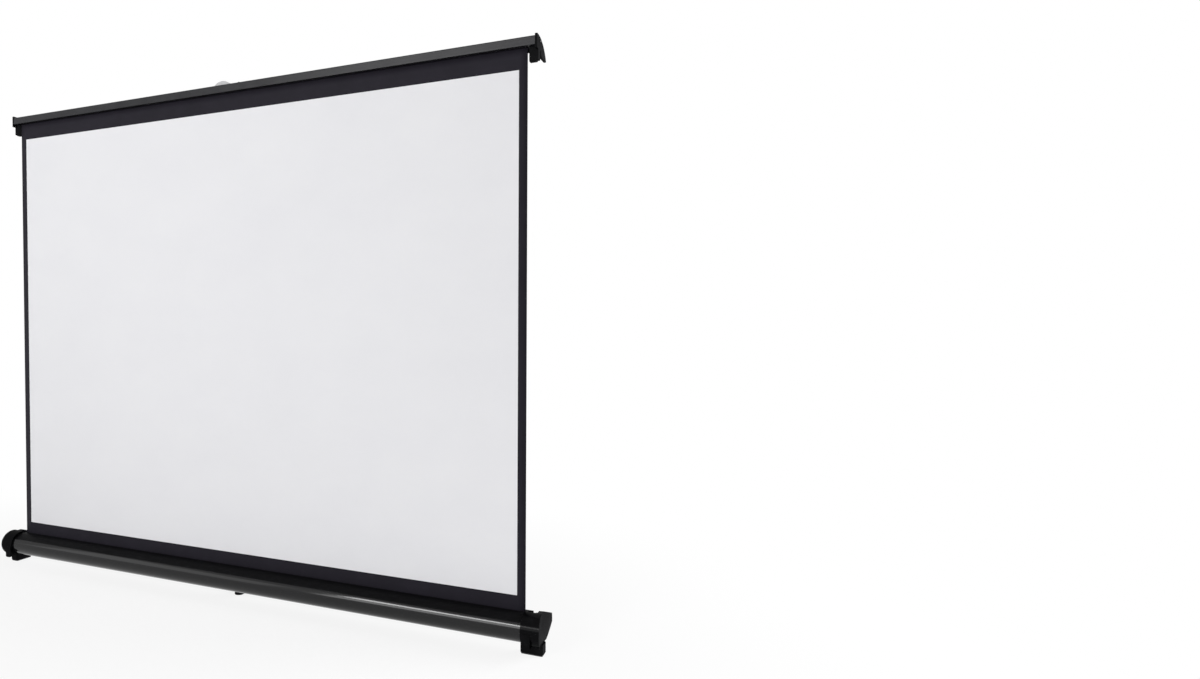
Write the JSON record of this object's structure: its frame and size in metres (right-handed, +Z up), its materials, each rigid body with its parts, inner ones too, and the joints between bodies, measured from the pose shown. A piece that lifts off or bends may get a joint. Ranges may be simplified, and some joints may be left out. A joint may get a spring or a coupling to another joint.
{
  "type": "tabletop projection screen",
  "caption": "Free-standing projection screen that pulls up out of a low roller case on a folding diamond brace, with swing-out feet and a latch.",
  "frame": {"origin": "on the table, under the middle of the part's bounding box", "axes": "+X along the case to the right as the audience sees it, the picture faces -Y, +Z up"},
  "size_m": [1.102, 0.1134, 0.8936],
  "materials": {
    "black_anodised": "satin",
    "black_plastic": "satin",
    "rubber_dark": "matte",
    "rubber_light": "matte",
    "grip_grey": "matte",
    "white_nylon": "matte",
    "bare_aluminium": "brushed",
    "steel_fixings": "bright",
    "black_screws": "satin",
    "chrome": "polished",
    "zinc": "zinc plated",
    "arm_paint": "satin",
    "screen_black": "fine grain",
    "screen_white": "matte"
  },
  "bodies": {
    "case": {"case_extrusion": "black_anodised", "end_cap_left": "black_plastic", "end_cap_right": "black_plastic", "cap_screws": "black_screws", "foot_pins": "steel_fixings", "leg_pin": "steel_fixings", "spring_arbor": "steel_fixings", "roller_spring": "steel_fixings", "screen_fabric": "screen_black", "picture_surface": "screen_white", "catch_stud": "chrome", "base_bracket": "arm_paint", "base_screws": "steel_fixings", "base_pins": "chrome"},
    "left_foot": {"foot_left": "black_plastic", "foot_pad_left": "rubber_dark"},
    "right_foot": {"foot_right": "black_plastic", "foot_pad_right": "rubber_dark"},
    "middle_leg": {"rear_leg": "black_plastic", "leg_tip": "rubber_light"},
    "roller": {"roller_tube": "bare_aluminium", "roller_plug_left": "white_nylon", "roller_plug_right": "white_nylon", "wound_fabric": "screen_black"},
    "left_lower_arm": {"lower_arm_left": "arm_paint", "lower_tongue_left": "zinc", "arm_rivets_lower_left": "steel_fixings", "elbow_rivet_left": "chrome", "elbow_bush_left": "steel_fixings"},
    "right_lower_arm": {"lower_arm_right": "arm_paint", "lower_tongue_right": "zinc", "arm_rivets_lower_right": "steel_fixings", "elbow_rivet_right": "chrome", "elbow_bush_right": "steel_fixings"},
    "left_upper_arm": {"upper_arm_left": "arm_paint", "upper_tongue_left": "zinc", "arm_rivets_upper_left": "steel_fixings"},
    "right_upper_arm": {"upper_arm_right": "arm_paint", "upper_tongue_right": "zinc", "arm_rivets_upper_right": "steel_fixings"},
    "bar": {"top_bar": "black_anodised", "bar_end_left": "black_plastic", "bar_end_right": "black_plastic", "bar_screws": "black_screws", "bar_bracket": "arm_paint", "bracket_rivets": "steel_fixings", "bar_pins": "chrome", "pull_grip": "grip_grey", "latch_screw": "chrome", "hem_rod": "steel_fixings"},
    "latch": {"latch_lever": "arm_paint", "latch_knob": "chrome"}
  },
  "joints": [
    {"name": "brace_fold", "type": "hinge", "parent": "case", "child": "left_lower_arm", "pos_m": [-0.058, 0.00575, 0.041], "axis": [0, -1, 0], "range_deg": [0, 69.03], "deforming": ["screen_fabric", "picture_surface"]},
    {"name": "left_elbow", "type": "hinge", "parent": "left_lower_arm", "child": "left_upper_arm", "pos_m": [-0.207, -0.00225, 0.4585], "axis": [0, 1, 0], "range_deg": [0, 138.08]},
    {"name": "bar_level", "type": "hinge", "parent": "left_upper_arm", "child": "bar", "pos_m": [-0.058, -0.00225, 0.876], "axis": [0, -1, 0], "range_deg": [0, 69.04]},
    {"name": "right_fold", "type": "hinge", "parent": "case", "child": "right_lower_arm", "pos_m": [0.058, 0.00575, 0.041], "axis": [0, 1, 0], "range_deg": [0, 69.04]},
    {"name": "right_elbow", "type": "hinge", "parent": "right_lower_arm", "child": "right_upper_arm", "pos_m": [0.207, -0.00225, 0.4585], "axis": [0, -1, 0], "range_deg": [0, 138.08]},
    {"name": "roller_turn", "type": "hinge", "parent": "case", "child": "roller", "pos_m": [0, -0.03275, 0.0375], "axis": [-1, 0, 0], "range_deg": [0, 3439]},
    {"name": "left_foot_turn", "type": "hinge", "parent": "case", "child": "left_foot", "pos_m": [-0.542, -0.02625, 0.017], "axis": [0, 0, -1], "range_deg": [0, 90]},
    {"name": "right_foot_turn", "type": "hinge", "parent": "case", "child": "right_foot", "pos_m": [0.542, -0.02625, 0.017], "axis": [0, 0, -1], "range_deg": [0, 90]},
    {"name": "middle_leg_turn", "type": "hinge", "parent": "case", "child": "middle_leg", "pos_m": [0, -0.01325, 0.017], "axis": [0, 0, -1], "range_deg": [0, 90]},
    {"name": "latch_turn", "type": "hinge", "parent": "bar", "child": "latch", "pos_m": [0.0045, -0.00575, 0.878], "axis": [0, 1, 0], "range_deg": [0, 28]}
  ],
  "couplings": [
    {"joint": "left_elbow", "follows": "brace_fold", "ratio": 2},
    {"joint": "bar_level", "follows": "brace_fold", "ratio": 1},
    {"joint": "right_fold", "follows": "brace_fold", "ratio": 1},
    {"joint": "right_elbow", "follows": "brace_fold", "ratio": 2},
    {"joint": "roller_turn", "follows": "brace_fold", "ratio": 49.783}
  ]
}
